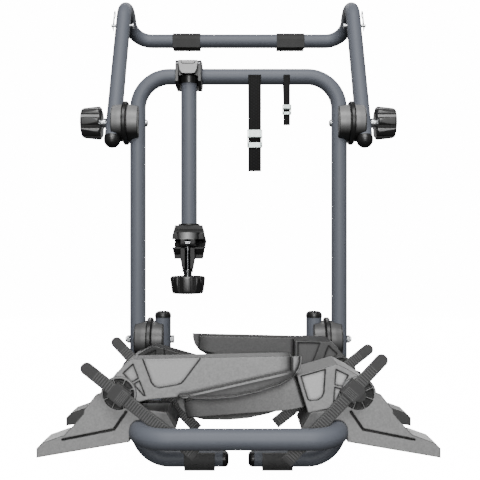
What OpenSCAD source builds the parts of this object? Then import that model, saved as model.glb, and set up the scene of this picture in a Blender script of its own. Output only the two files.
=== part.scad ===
// Trunk mounted bike rack for two bicycles: a tube frame that hangs on a car's tailgate, with a
// fold-down platform, four folding wheel trays and one arm that holds a bicycle's frame.
// Millimetres. x = 0 is the mid-plane, y = 0 the plane of the main frame with the car behind
// it (+y), z = 0 the axis of the bottom tube between the two bumper pads.

/* [Tubes] */
// Outer diameter of every frame tube
tube_d = 30; // [27:0.5:33]
// Wall of the frame tubes
tube_wall = 1.6; // [1.2:0.1:2.5]

/* [Main frame] */
// Distance between the axes of the two posts
post_pitch = 384; // [380:1:460]
// Height of the top tube above the bottom tube, axis to axis
frame_height = 729; // [715:1:820]
// Bend radius of the loop's corners, on the tube axis
frame_bend = 61; // [50:1:70]
// Half of the gap between the two tube ends in the bottom bar
bottom_gap = 30; // [22:1:36]
// Length of one bumper pad along the tube
bumper_len = 58; // [40:1:60]
// Distance from the bottom tube's axis to the bumper pad's car side
bumper_reach = 30; // [24:1:45]

/* [Upper frame] */
// Drop of the upper hinge below the top tube, axis to axis
hinge_drop = 88.5; // [84:0.5:94]
// Clear space between the post and the arm beside it
high_gap = 16; // [15:0.5:20]
// How far the arms lean back from upright, in degrees
arm_lean = 27; // [15:1:32]
// Straight length of an arm from the hinge to its bend
arm_len = 269; // [240:1:300]
// Bend radius of the arms
arm_bend = 50; // [40:1:60]
// Angle of the hooked end from upright, in degrees
hook_angle = 130; // [115:1:140]
// Length of one upper pad along the tube
top_pad_len = 61; // [40:1:80]

/* [Platform] */
// Height of the lower hinge above the bottom tube
low_hinge_z = 228.5; // [224:1:232]
// Clear space between the post and the platform tube beside it
low_gap = 18; // [17:0.5:20]
// Height of the platform tube's axis above the bottom tube
deck_z = 139.5; // [136:0.5:142]
// Distance from the frame to the front tube of the platform
deck_depth = 378; // [374:1:400]
// Bend radius of the platform tube
deck_bend = 45; // [42:1:46]

/* [Hinge discs] */
// Radius of the plastic disc housings
disc_r = 35; // [30:0.5:38]
// Radius of the ring between two housings
ring_r = 41.5; // [38:0.5:42]
// Radius of the bolts through the hinges
bolt_r = 4; // [3:0.5:5]

/* [Wheel trays] */
// Distance from the front tube's axis back to the front face of the near pair
front_room = 48; // [46:1:50]
// Distance from the main frame's axis forward to the rear face of the far pair
back_room = 61; // [60:1:62]
// Width of a tray foot, front to back
foot_w = 84; // [80:1:85]
// Depth of a foot's tongue, front to back
tongue_w = 48; // [44:1:52]
// Length of a near tray from its fold pin to the end of its lip
near_reach = 268; // [266:0.5:269]
// Length of a far tray from its fold pin to the end of its lip
far_reach = 258.5; // [256:0.5:259]
// Radius of the pin that a tray folds on
axle_r = 5; // [4:0.5:6]
// How far the lower of two folded trays dips, in degrees
tray_dip = 17; // [15:0.5:18]

/* [Wheel straps] */
// Length of one ladder strap
strap_len = 210; // [190:1:225]
// Width of a ladder strap
strap_w = 18; // [14:0.5:18]
// Slope of the flatter strap of a pair, in degrees
strap_slope_a = 38.5; // [35:0.5:39]
// Slope of the steeper strap of a pair, in degrees
strap_slope_b = 47; // [44:0.5:48]

/* [Bike arm] */
// Place of the arm along the top tube, from the mid-plane
arm_x = -92; // [-98:1:-86]
// Distance from the top tube's axis forward to the arm tube's axis
arm_off = 36; // [35.5:0.5:40]
// Height of the clamp's centre above the bottom tube
clamp_z = 414.4; // [405:1:430]
// Radius of the bicycle tube that the closed clamp holds
grip_r = 19; // [15:0.5:20]
// Largest radius of the clamp knob
clamp_knob_r = 32; // [28:0.5:32]

/* [Hinge knobs] */
// Largest radius of the hinge knobs
hinge_knob_r = 32; // [26:0.5:36]
// Length of a hinge knob
hinge_knob_len = 36; // [28:1:42]

/* [Tie straps] */
// Width of the wide tie strap
wide_w = 25; // [20:1:28]
// Length that the wide tie strap hangs below the top tube
wide_drop = 182; // [150:1:240]
// Width of the narrow tie strap
narrow_w = 13; // [10:1:16]
// Length that the narrow tie strap hangs below the top tube
narrow_drop = 95; // [85:1:130]

/* [Node] */

/* [Hidden] */
$fn = 64;
tr = tube_d / 2;
ti = tr - tube_wall;
post_x = post_pitch / 2;
arm_side_x = post_x + tube_d + high_gap;
stub_x = post_x - tube_d - low_gap;
top_z = frame_height;
high_hinge_z = frame_height - hinge_drop;
run = 0.06;
snug = 0.04;
slip = 0.2;
frame_grey = [0.36, 0.38, 0.42];
black = [0.09, 0.09, 0.1];
dark = [0.16, 0.16, 0.17];
mould = [0.3, 0.3, 0.31];
silver = [0.75, 0.76, 0.78];

// Round bars along the three directions.
module xrod(r, x0, x1, y = 0, z = 0)
  translate([x0, y, z]) rotate([0, 90, 0]) cylinder(h = x1 - x0, r = r);
module yrod(r, y0, y1, x = 0, z = 0)
  translate([x, y1, z]) rotate([90, 0, 0]) cylinder(h = y1 - y0, r = r);
module zrod(r, z0, z1, x = 0, y = 0)
  translate([x, y, z0]) cylinder(h = z1 - z0, r = r);
// A quarter or other part of a bent tube, from angle a0 over a degrees.
module bend(r, rb, a0, a)
  rotate([0, 0, a0]) rotate_extrude(angle = a) translate([rb, 0]) circle(r);
// Flat shapes raised along x (drawn in y and z) or along y (drawn in x and z).
module along_x(x0, x1) translate([x0, 0, 0]) rotate([90, 0, 90])
  linear_extrude(x1 - x0) children();
module along_y(y0, y1) translate([0, y1, 0]) rotate([90, 0, 0])
  linear_extrude(y1 - y0) children();
// The same shape on the left and on the right.
module both() { children(); mirror([1, 0, 0]) children(); }
module side(s) { if (s < 0) mirror([1, 0, 0]) children(); else children(); }

// Main frame.
module loop_corner(r, x, z, a0)
  translate([x, 0, z]) rotate([90, 0, 0]) bend(r, frame_bend, a0, 90);
module frame_path(r, over) {
  cx = post_x - frame_bend;
  both() {
    zrod(r, frame_bend, top_z - frame_bend, post_x, 0);
    loop_corner(r, cx, top_z - frame_bend, 0);
    loop_corner(r, cx, frame_bend, 270);
    xrod(r, bottom_gap - over, cx, 0, 0);
  }
  xrod(r, -cx, cx, 0, top_z);
}
module main_frame() color(frame_grey) difference() {
  frame_path(tr, 0);
  frame_path(ti, 1);
  for (z = [low_hinge_z, high_hinge_z])
    both() xrod(bolt_r + snug, post_x - tube_d, post_x + tube_d, 0, z);
}
module bottom_end_caps() color(black) both() translate([bottom_gap, 0, 0]) rotate([0, 90, 0])
  rotate_extrude() polygon(concat(
    [[0, 18], [ti - snug, 18], [ti - snug, 0], [tr, 0]],
    [for (a = [0 : 15 : 90]) [tr - 8 + 8 * cos(a), -3.5 - 8 * sin(a)]],
    [[0, -11.5]]));
module pad_profile(reach, drop) difference() {
  union() {
    circle(tr + 4.5);
    translate([0, -tr - drop]) square([reach, tr * 2 - 1 + drop]);
    translate([-tr * 0.7, -tr - drop]) square([tr, tr + drop]);
  }
  circle(tr + snug);
  translate([-60, tr - 1.6]) square([120, 40]);
}
module bumper_pads() color(dark)
  both() along_x(post_x - frame_bend - 28 - bumper_len, post_x - frame_bend - 28)
    pad_profile(bumper_reach, 5);

// Upper frame.
bx_y = arm_len * sin(arm_lean) + arm_bend * cos(arm_lean) - arm_bend * cos(hook_angle);
bx_z = arm_len * cos(arm_lean) - arm_bend * sin(arm_lean) + arm_bend * sin(hook_angle);
hook_bend = 45;
hook_run = 8;
// Axis of the rear tube of the upper frame, from the upper hinge.
rear_y = bx_y + (hook_run + hook_bend) * sin(hook_angle);
rear_z = bx_z + (hook_run + hook_bend) * cos(hook_angle);
arm_tail = 34;
pin_t = arm_len - 24;
module arm_frame() translate([0, 0, high_hinge_z]) rotate([-arm_lean, 0, 0]) children();
module hook_frame() translate([0, bx_y, high_hinge_z + bx_z]) rotate([-hook_angle, 0, 0])
  children();
// Hollow bar along z and hollow bend, for tube that turns in two planes.
module ztube(z0, z1, x) difference() {
  zrod(tr, z0, z1, x, 0);
  zrod(ti, z0 - 1, z1 + 1, x, 0);
}
module tube_bend(rb, a) rotate_extrude(angle = a)
  translate([rb, 0]) difference() { circle(tr); circle(ti); }
// Pressed bead round the tube where the arm's bend ends.
module bead() difference() {
  zrod(tr + 0.15, -2, 2, arm_side_x, 0);
  zrod(ti - 0.15, -3, 3, arm_side_x, 0);
}
module hook_end() hook_frame() {
  cx = arm_side_x - hook_bend;
  union() {
    union() {
      both() {
        ztube(0, hook_run, arm_side_x);
        translate([cx, 0, hook_run]) rotate([90, 0, 0]) tube_bend(hook_bend, 90);
      }
      difference() {
        xrod(tr, -cx, cx, 0, hook_run + hook_bend);
        xrod(ti, -cx - 1, cx + 1, 0, hook_run + hook_bend);
      }
    }
    both() bead();
  }
}
module upper_path() {
  hook_end();
  both() arm_frame() {
    ztube(-arm_tail, arm_len, arm_side_x);
    translate([arm_side_x, arm_bend, arm_len]) rotate([90, 0, 90]) mirror([1, 0, 0])
      tube_bend(arm_bend, hook_angle - arm_lean);
  }
}
module upper_frame() color(frame_grey) difference() {
  upper_path();
  both() xrod(bolt_r + run, arm_side_x - tube_d, arm_side_x + tube_d, 0, high_hinge_z);
  both() arm_frame() xrod(3 + snug, arm_side_x - tube_d, arm_side_x + tube_d, 0, pin_t);
}
module arm_end_caps() color(black) both() arm_frame()
  translate([arm_side_x, 0, -arm_tail]) rotate_extrude() polygon(concat(
    [[0, 14], [ti - snug, 14], [ti - snug, 0], [tr + 0.8, 0]],
    [for (a = [0 : 15 : 75]) [(tr + 0.8) * cos(a), -4 - (tr + 0.8) * sin(a)]],
    [[0, -4 - tr - 0.8]]));
module upper_pads() color(dark)
  both() along_x(arm_side_x - hook_bend - 47 - top_pad_len, arm_side_x - hook_bend - 47)
    translate([rear_y, high_hinge_z + rear_z]) difference() {
      union() {
        circle(tr + 2.2);
        translate([-tr - 2.2, -tr - 3]) square([2 * tr + 4.4, tr + 3]);
      }
      circle(tr + snug);
      translate([-2, 0]) square([4, 40]);
    }
module strap_pins() color(silver) both() arm_frame() {
  difference() {
    xrod(3, arm_side_x - tr - 4, arm_side_x + tr + 9, 0, pin_t);
    zrod(1.1, pin_t - 9, pin_t + 9, arm_side_x + tr + 5.5, 0);
  }
  xrod(5.5, arm_side_x - tr - 7, arm_side_x - tr - 4, 0, pin_t);
}
// Spring clip of bent wire: a straight leg through the pin, a coil and a wavy leg.
module wire(p, q, r) {
  d = q - p;
  l = norm(d);
  translate([0, p[0], p[1]]) {
    rotate([atan2(-d[0], d[1]), 0, 0]) cylinder(h = l, r = r);
    sphere(r * 1.12);
  }
}
module strap_pin_clips() color(silver) both() arm_frame()
  translate([arm_side_x + tr + 5.5, 0, pin_t]) {
    zrod(1, -8, 38, 0, 0);
    wire([0, 38], [4, 44], 1);
    wire([4, 44], [9, 44], 1);
    wire([9, 44], [12, 38], 1);
    wire([12, 38], [4.3, 22], 1);
    wire([4.3, 22], [8, 12], 1);
    wire([8, 12], [4.3, 2], 1);
    wire([4.3, 2], [8, -6], 1);
    translate([0, 8, -6]) sphere(1.12);
  }

// Hinge discs.
// One half housing: a chamfered disc from x0 to x1 with its flat side at x1.
module housing(r, x0, x1) translate([x0, 0, 0]) rotate([0, 90, 0]) rotate_extrude()
  polygon([[0, 0], [r - 4, 0], [r - 1.2, 1.6], [r, (x1 - x0) * 0.6], [r, x1 - x0],
    [0, x1 - x0]]);
high_ring_x = post_x + tr + 3;
high_ring_out = arm_side_x - tr - 4;
low_ring_x = stub_x + tr + 4;
low_ring_out = post_x - tr - 4;
module tilted_tube(r) arm_frame() zrod(r, -90, 90, arm_side_x, 0);
module arm_hinge_discs() color(mould) both() difference() {
  translate([0, 0, high_hinge_z]) mirror([1, 0, 0])
    housing(disc_r, -arm_side_x - 2, -high_ring_out);
  tilted_tube(tr + snug);
  arm_frame() zrod(tr + 1, -60, -arm_tail + 0.2, arm_side_x, 0);
  xrod(bolt_r + run, 100, 400, 0, high_hinge_z);
}
module upper_hinge_rings() color(black) both() translate([0, 0, high_hinge_z]) difference() {
  translate([high_ring_x, 0, 0]) rotate([0, 90, 0]) rotate_extrude()
    polygon([[bolt_r + snug, 0], [ring_r - 2, 0], [ring_r, 2],
      [ring_r, high_ring_out - high_ring_x - 2.2], [ring_r - 2, high_ring_out - high_ring_x - slip],
      [bolt_r + snug, high_ring_out - high_ring_x - slip]]);
}
module post_hinge_discs() color(mould) both() difference() {
  translate([0, 0, high_hinge_z]) housing(disc_r, post_x - 4, high_ring_x);
  zrod(tr + snug, high_hinge_z - 80, high_hinge_z + 80, post_x, 0);
  xrod(bolt_r + snug, 100, 400, 0, high_hinge_z);
}
knob_x0 = arm_side_x + tr + 8.2;
module upper_hinge_bolts() color(silver) both() translate([0, 0, high_hinge_z]) {
  xrod(bolt_r, post_x - tr, knob_x0 + hinge_knob_len - 8, 0, 0);
  translate([post_x - tr, 0, 0]) rotate([0, -90, 0]) rotate_extrude()
    polygon([[0, 0], [7, 0], [6.4, 2.4], [4, 4.2], [0, 4.8]]);
}
module hinge_spacers() color(silver) both() translate([0, 0, high_hinge_z]) difference() {
  union() {
    xrod(9.3, arm_side_x + tr + 0.05, arm_side_x + tr + 4, 0, 0);
    xrod(7.6, arm_side_x + tr + 4, knob_x0 - slip, 0, 0);
  }
  xrod(bolt_r + run, 100, 400, 0, 0);
}
// A gripping knob with rounded lobes that narrows away from its shaft; shaft end at z = 0.
module knob(r, len, hole, depth) difference() {
  intersection() {
    union() {
      linear_extrude(len) union() {
        circle(r * 0.84);
        for (i = [0 : 7]) rotate([0, 0, 45 * i]) translate([r * 0.76, 0]) circle(r * 0.238);
      }
    }
    rotate_extrude() polygon([[0, 0], [r - 3, 0], [r, 3], [r * 0.9, len - 4], [r * 0.84, len],
      [0, len]]);
  }
  translate([0, 0, -1]) cylinder(h = depth + 1, r = hole);
  translate([0, 0, len - 3]) cylinder(h = 4, r = r * 0.5);
}
module hinge_knob(s) color(black) side(s) translate([knob_x0, 0, high_hinge_z])
  rotate([0, 90, 0]) knob(hinge_knob_r, hinge_knob_len, bolt_r + run, hinge_knob_len - 7);
module hinge_knob_left() hinge_knob(-1);
module hinge_knob_right() hinge_knob(1);
module lower_post_discs() color(mould) both() difference() {
  translate([0, 0, low_hinge_z]) mirror([1, 0, 0]) housing(disc_r, -post_x - 4, -low_ring_out);
  zrod(tr + snug, low_hinge_z - 80, low_hinge_z + 80, post_x, 0);
  xrod(bolt_r + snug, 100, 400, 0, low_hinge_z);
}
module lower_hinge_rings() color(black) both() translate([low_ring_x + slip, 0, low_hinge_z])
  rotate([0, 90, 0]) rotate_extrude()
    polygon([[bolt_r + snug, 0], [ring_r - 2, 0], [ring_r, 2],
      [ring_r, low_ring_out - low_ring_x - slip - 2], [ring_r - 2, low_ring_out - low_ring_x - slip],
      [bolt_r + snug, low_ring_out - low_ring_x - slip]]);
module platform_discs() color(mould) both() difference() {
  translate([0, 0, low_hinge_z]) housing(disc_r, stub_x - 3, low_ring_x);
  zrod(tr + snug, low_hinge_z - 80, low_hinge_z + 80, stub_x, 0);
  xrod(bolt_r + run, 50, 400, 0, low_hinge_z);
}
module platform_bolts() color(silver) both() translate([0, 0, low_hinge_z]) {
  xrod(bolt_r, stub_x - tr - 0.2, post_x + tr + 8.5, 0, 0);
  translate([stub_x - tr - 6.2, 0, 0]) rotate([0, 90, 0]) cylinder(h = 6, r = 7.5, $fn = 6);
}
module platform_nuts() color(silver) both() translate([0, 0, low_hinge_z]) difference() {
  union() {
    translate([post_x + tr, 0, 0]) rotate([0, 90, 0]) cylinder(h = 5, r = 7.5, $fn = 6);
    xrod(5.6, post_x + tr + 5, post_x + tr + 7, 0, 0);
  }
  xrod(bolt_r + snug, 100, 400, 0, 0);
}

// Platform.
stub_top = low_hinge_z + 42;
module deck_path(r, over) {
  both() {
    zrod(r, deck_z + deck_bend, stub_top + over, stub_x, 0);
    translate([stub_x, -deck_bend, deck_z + deck_bend]) rotate([90, 0, 90])
      bend(r, deck_bend, 270, 90);
    yrod(r, -deck_depth + deck_bend, -deck_bend, stub_x, deck_z);
    translate([stub_x - deck_bend, -deck_depth + deck_bend, deck_z]) bend(r, deck_bend, 270, 90);
  }
  translate([0, -deck_depth, deck_z])
    xrod(r, -stub_x + deck_bend, stub_x - deck_bend, 0, 0);
}
module platform_frame() color(frame_grey) difference() {
  deck_path(tr, 0);
  deck_path(ti, 1);
  both() xrod(bolt_r + run, stub_x - tube_d, stub_x + tube_d, 0, low_hinge_z);
}
module platform_end_caps() color(black) both() translate([stub_x, 0, stub_top])
  difference() {
    rotate_extrude() polygon(concat(
      [[0, -14], [ti - snug, -14], [ti - snug, 0], [tr + 0.6, 0]],
      [for (a = [0 : 15 : 90]) [tr - 7.4 + 8 * cos(a), 3.5 + 8 * sin(a)]],
      [[0, 11.5]]));
    for (a = [0 : 30 : 150]) rotate([0, 0, a]) translate([-20, -0.6, 8]) cube([40, 1.2, 6]);
  }

// Wheel feet.
// Drawn from the axis of the leg tube: first value outward, second value up.
piv_a = 31;
piv_b = 53;
cheek = 4.5;
piv_x = stub_x + piv_a;
piv_z = deck_z + piv_b;
near_y = -deck_depth + front_room + foot_w / 2;
far_y = -back_room - foot_w / 2;
module foot_deck_2d() polygon([[151, -39.9], [151, -26.1], [142, -17.9], [114, -8], [37.4, -1],
  [24, 10.5], [16, tr + 8.5], [-39.1, tr + 8.5], [-52.8, 2.8], [-44, -12.5], [-16, -15.5],
  [14.3, -16.7]]);
module foot_cheek_2d() union() {
  polygon([[-52.8, 2.8], [-39.1, 26.3], [4, 31.4], [20, 60], [44, 60], [55.7, 55.8], [64.6, 52],
    [81.7, 29.7], [82, 24.4], [114, -11], [37.4, -12], [-16, -12]]);
  translate([piv_a, piv_b]) circle(26);
}
// The rear cheek is lower and ends above the tongue's root.
module foot_back_2d() union() {
  polygon([[-52.8, 2.8], [-39.1, 24.5], [4, 27], [12, 44], [31, 60], [50, 44], [56, 22], [56, -12],
    [-16, -12]]);
  translate([piv_a, piv_b]) circle(20);
}
module foot(s, yc) color(mould) side(s) {
  y0 = yc - foot_w / 2;
  y1 = yc + foot_w / 2;
  difference() {
    translate([stub_x, 0, deck_z]) union() {
      along_y(y0, y1) foot_deck_2d();
      along_y(y0, y0 + cheek) foot_cheek_2d();
      along_y(y1 - cheek, y1) foot_back_2d();
    }
    // the tongue is only as deep as its own width
    translate([stub_x + 56, y0 + tongue_w, deck_z - 60]) cube([120, foot_w, 90]);
    // seat on the leg tube, open below
    yrod(tr + snug, y0 - 1, y1 + 1, stub_x, deck_z);
    translate([stub_x - tr - snug, y0 - 1, deck_z - 60]) cube([tube_d + 2 * snug, foot_w + 2, 60]);
    // hollow underside of the tongue
    translate([stub_x, 0, deck_z]) along_y(y0 + 3, y0 + tongue_w - 3)
      polygon([[40, -60], [40, -4.5], [112, -11], [139, -21], [147, -28.5], [147, -60]]);
    yrod(axle_r + snug, y0 - 1, y1 + 1, piv_x, piv_z);
    for (f = [0, 1]) {
      ya = f == 0 ? y0 - 1 : y1 - 1.8;
      yb = f == 0 ? y0 + 1.8 : y1 + 1;
      // groove between the wedge and the base
      translate([stub_x, 0, deck_z]) along_y(ya, yb)
        polygon([[114, -15], [37, 0], [18, 27.5], [20.8, 29], [38.8, 2.8], [114, -12.2]]);
      // hub recess with its ribs
      difference() {
        yrod(f == 0 ? 22.5 : 16.5, ya, yb, piv_x, piv_z);
        yrod(9, ya - 1, yb + 1, piv_x, piv_z);
        for (a = [20 : 45 : 359]) translate([piv_x, yb + 1, piv_z]) rotate([90, a, 0])
          translate([0, -1, 0]) cube([30, 2, 6]);
      }
    }
  }
}
module foot_near_left() foot(-1, near_y);
module foot_near_right() foot(1, near_y);
module foot_far_left() foot(-1, far_y);
module foot_far_right() foot(1, far_y);
spig_r = 4;
strap_y = 11.5;
module tray_axles() color(silver) for (yc = [near_y, far_y]) both()
  translate([piv_x, yc, piv_z]) {
    yrod(axle_r, -foot_w / 2 - 0.1, foot_w / 2 + 0.1, 0, 0);
    yrod(8, -foot_w / 2 - 3, -foot_w / 2, 0, 0);
    yrod(spig_r, -foot_w / 2 - 6.6, -foot_w / 2 - 2.9, 0, 0);
    yrod(8, foot_w / 2, foot_w / 2 + 2.5, 0, 0);
  }

// Wheel trays.
// Drawn from the fold pin: first value toward the mid-plane, second value up.
tray_w = foot_w - 2 * cheek - 1;
half_w = tray_w / 2 - 2;
root_u = 78;
module tray_wall_2d(t) union() {
  polygon([[-14.6, 14], [-14.6, 18.4], [-10.9, 22.2], [0.9, 35.5], [16.2, 50.3], [t - 17.5, 55.1],
    [t - 15, 52.6], [t - 13.1, 30.5], [104.6, -3.5], [41.9, -9.2], [8, -18]]);
  circle(19);
}
module tray_room_2d(t) polygon([[30, 47.8], [t - 20.5, 52.4], [t - 17.4, 49.6],
  [t - 15.6, 29.5], [t - 15.6, -40], [30, -40]]);
module crease_2d(t) polygon([[88, -5.2], [104.6, -3.5], [t - 13.1, 30.5], [t - 13.8, 55.1],
  [t - 16.6, 55.1], [t - 16, 32.8], [104.6, -0.6], [88, -2.4]]);
module apron_2d(t) polygon([[88, -5.2], [104.6, -3.5], [t - 16, 29.8], [t - 16.6, 55.1], [t, 55.2],
  [t - 0.5, 47], [t - 3.5, 36], [t - 12, 24.5], [t - 32, 13.1], [200, 1.5], [170, -5],
  [137, -7.8], [110, -7.4]]);
module apron_room_2d(t) polygon([[100, -5.4], [137, -5.6], [170, -2.8], [200, 3.7], [t - 33, 15],
  [t - 14, 26], [t - 6, 37], [t - 3, 47.6], [t - 2.8, 60], [t - 17, 60], [t - 16, 29.8],
  [104.6, -3.5]]);
low_root = 26;
// The channel lies in the front half of the foot when f is -1, in the rear half when f is 1.
// Behind a front channel the root is low. t is the tray's length.
module tray_body(f, t) {
  w = tray_w / 2;
  c0 = f < 0 ? -w : 2;
  c1 = f < 0 ? -2 : w;
  e = f < 0 ? c0 : c1;
  difference() {
    union() {
      intersection() {
        along_y(-w, w) tray_wall_2d(t);
        if (f < 0) union() {
          translate([-40, -60, -60]) cube([40 + root_u, 58, 140]);
          translate([-40, -60, -60]) cube([40 + root_u, 120, 60 + low_root]);
        }
        else translate([-40, -60, -60]) cube([40 + root_u, 120, 140]);
      }
      along_y(c0, c1) tray_wall_2d(t);
      // flared lip on the outer side
      along_y(f < 0 ? e - 2.6 : e - 0.1, f < 0 ? e + 0.1 : e + 2.6) crease_2d(t);
      difference() {
        along_y(f < 0 ? e - 5 : e + 0.4, f < 0 ? e - 0.4 : e + 5) apron_2d(t);
        along_y(f < 0 ? e - 8 : e + 2.6, f < 0 ? e - 2.6 : e + 8) apron_room_2d(t);
      }
    }
    // room inside the root and the channel
    intersection() {
      along_y(-w + 3, w - 3) tray_room_2d(t);
      translate([-40, -60, -60]) cube([40 + root_u - 3, 120, f < 0 ? 57.4 + low_root : 140]);
    }
    along_y(c0 + 2.6, c1 - 2.6) tray_room_2d(t);
    yrod(axle_r + run, -60, 60, 0, 0);
    for (k = [-1, 1]) {
      ka = k < 0 ? -w - 1 : w - 1.4;
      kb = k < 0 ? -w + 1.4 : w + 1;
      // window beside the hub with one rib, and the sunk panel
      difference() {
        along_y(ka, kb) polygon([[20.5, 44], [5, 29.5], [18, 16], [36, -4], [39, -4]]);
        along_y(ka - 1, kb + 1) polygon([[5, 7.6], [6.5, 5.4], [32, 20.5], [30.5, 23]]);
      }
      if (k == f) along_y(ka, kb) polygon([[33, 52.6], [47, 15.3], [52, 9.6], [58.8, 7.6],
        [85.6, 12.3], [91.5, 14.6], [95.9, 19.3], [119.2, 50.4], [119.2, 54.4], [33, 54.4]]);
      if (k < 0 && f > 0) along_y(ka, kb) polygon([[34.5, 48.2], [47, 15.3], [52, 9.6],
        [58.8, 7.6], [70, 9.6], [73, 12.8], [73, 49]]);
    }
  }
}
module tray(s, yc, f, dip, t) color(mould) translate([s * piv_x, yc, piv_z])
  rotate([0, -s * dip, 0]) mirror([s > 0 ? 1 : 0, 0, 0]) tray_body(f, t);
module tray_near_left() tray(-1, near_y, -1, 0, near_reach);
module tray_near_right() tray(1, near_y, 1, tray_dip, near_reach);
module tray_far_left() tray(-1, far_y, -1, tray_dip, far_reach);
module tray_far_right() tray(1, far_y, 1, 0, far_reach);

// Wheel straps.
strap_t = 2.4;
tip_len = 68;
// Shift of a strap sideways from the fold pin, so that it passes clear of the leg tube.
function strap_shift(slope) = tr + strap_w / 2 + 1.4 - piv_b * cos(slope) + piv_a * sin(slope);
module strap_frame(s, yc, slope) side(s) translate([piv_x, yc - foot_w / 2 - strap_y, piv_z])
  rotate([0, -slope, 0]) children();
// A toothed strap lying along x, its round free end outward.
module ladder_strap(s, yc, slope) color(black) strap_frame(s, yc, slope)
  translate([0, 0, strap_shift(slope)]) difference() {
    union() {
      along_y(-strap_t / 2, strap_t / 2) union() {
        translate([tip_len - strap_len, -strap_w / 2])
          square([strap_len - strap_w / 2, strap_w]);
        translate([tip_len - strap_w / 2, 0]) circle(strap_w / 2);
      }
      for (i = [0 : floor((strap_len - 34) / 4)])
        translate([tip_len - strap_len + 6 + 4 * i, -strap_t / 2 - 0.9, -strap_w / 2 + 1.6])
          cube([2, 1, strap_w - 3.2]);
    }
  }
// The sliding keeper that holds a strap on the fold pin's head.
module strap_keeper(s, yc, slope) color(dark) strap_frame(s, yc, slope) {
  sh = strap_shift(slope);
  hw = strap_w / 2;
  difference() {
    union() {
      along_y(strap_t / 2 + 0.4, strap_y - 3.2) union() {
        circle(9.5);
        translate([-14, sh - hw - 3.4]) square([26, strap_w + 6.8]);
        translate([-9.5, 0]) square([19, max(0.1, sh)]);
      }
      for (k = [-1, 1]) translate([-14, -strap_t / 2 - 3.4, sh + k * (hw + 2) - 1.4])
        cube([26, strap_t + 4.4, 2.8]);
      translate([-14, -strap_t / 2 - 3.4, sh - hw - 3.4]) cube([26, 2, strap_w + 6.8]);
      for (i = [0 : 4]) translate([-13 + 2.6 * i, -strap_t / 2 - 4, sh - hw])
        cube([1.3, 0.7, strap_w]);
    }
    yrod(spig_r + run, 4.4, 20, 0, 0);
  }
}
module strap_near_left() ladder_strap(-1, near_y, strap_slope_a);
module strap_near_right() ladder_strap(1, near_y, strap_slope_b);
module strap_far_left() ladder_strap(-1, far_y, strap_slope_b);
module strap_far_right() ladder_strap(1, far_y, strap_slope_a);
module keeper_near_left() strap_keeper(-1, near_y, strap_slope_a);
module keeper_near_right() strap_keeper(1, near_y, strap_slope_b);
module keeper_far_left() strap_keeper(-1, far_y, strap_slope_b);
module keeper_far_right() strap_keeper(1, far_y, strap_slope_a);

// Bike arm.
head_w = 47;
module in_head() translate([arm_x, 0, top_z]) children();
lev_y = -arm_off - 22;
lev_z = 12;
module head_2d() union() {
  circle(tr + 8);
  polygon([[-arm_off - 26, 8], [-arm_off - 20, 18], [-14, tr + 9], [0, tr + 8], [8, -tr - 3],
    [-6, -tr - 14.3], [-arm_off - 18, -tr - 14.3], [-arm_off - 26, -tr - 6.3]]);
}
module bike_arm_head() color(black) in_head() difference() {
  union() {
    difference() {
      along_x(-head_w / 2, head_w / 2) head_2d();
      // open front below the lever, behind the two cheeks
      translate([-head_w / 2 + 5.5, -arm_off - 40, -60]) cube([head_w - 11, 58, 51.9]);
      // pocket of the lever
      translate([-head_w / 2 + 5.5, -arm_off - 40, -8.2]) cube([head_w - 11, 40 - 13, 60]);
    }
    zrod(tr + 1.6, -21.5, 0, 0, -arm_off);
  }
  xrod(tr + run, -head_w, head_w, 0, 0);
  zrod(tr + snug, -90, -11, 0, -arm_off);
  xrod(2 + snug, -head_w / 2 + 1.5, head_w / 2 - 1.5, lev_y, lev_z);
}
module arm_head_lever() color([0.62, 0.63, 0.64]) in_head() difference() {
  union() {
    xrod(4.5, -17, 17, lev_y, lev_z);
    translate([0, 0, 0]) along_y(lev_y - 8, lev_y - 4) difference() {
      polygon([[-17.5, 16.5], [-17.5, 12], [-15.5, -1], [-11.5, -7], [-8, -7.8], [8, -7.8],
        [11.5, -7], [15.5, -1], [17.5, 12], [17.5, 16.5]]);
      polygon([[-13, 21], [-13, 12], [-10.5, 9.4], [10.5, 9.4], [13, 12], [13, 21], [11.8, 21],
        [11.8, 12.4], [10, 10.6], [-10, 10.6], [-11.8, 12.4], [-11.8, 21]]);
    }
    translate([-13, lev_y - 7, 8.5]) cube([26, 2.1, 8]);
    translate([-17, lev_y - 5, lev_z - 4.5]) cube([34, 5, 9]);
  }
  xrod(2 + run, -head_w, head_w, lev_y, lev_z);
}
module lever_pin() color(silver) in_head()
  xrod(2, -head_w / 2 + 1.6, head_w / 2 - 1.6, lev_y, lev_z);
module in_clamp() translate([arm_x, -arm_off, clamp_z]) children();
jaw_r = grip_r + 10;
jaw_w = 58;
hinge_y = jaw_r + 4;
bolt_y = -jaw_r - 5;
jaw_top = jaw_r + 1.6;
tube_end = clamp_z + jaw_top + 0.05;
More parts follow.
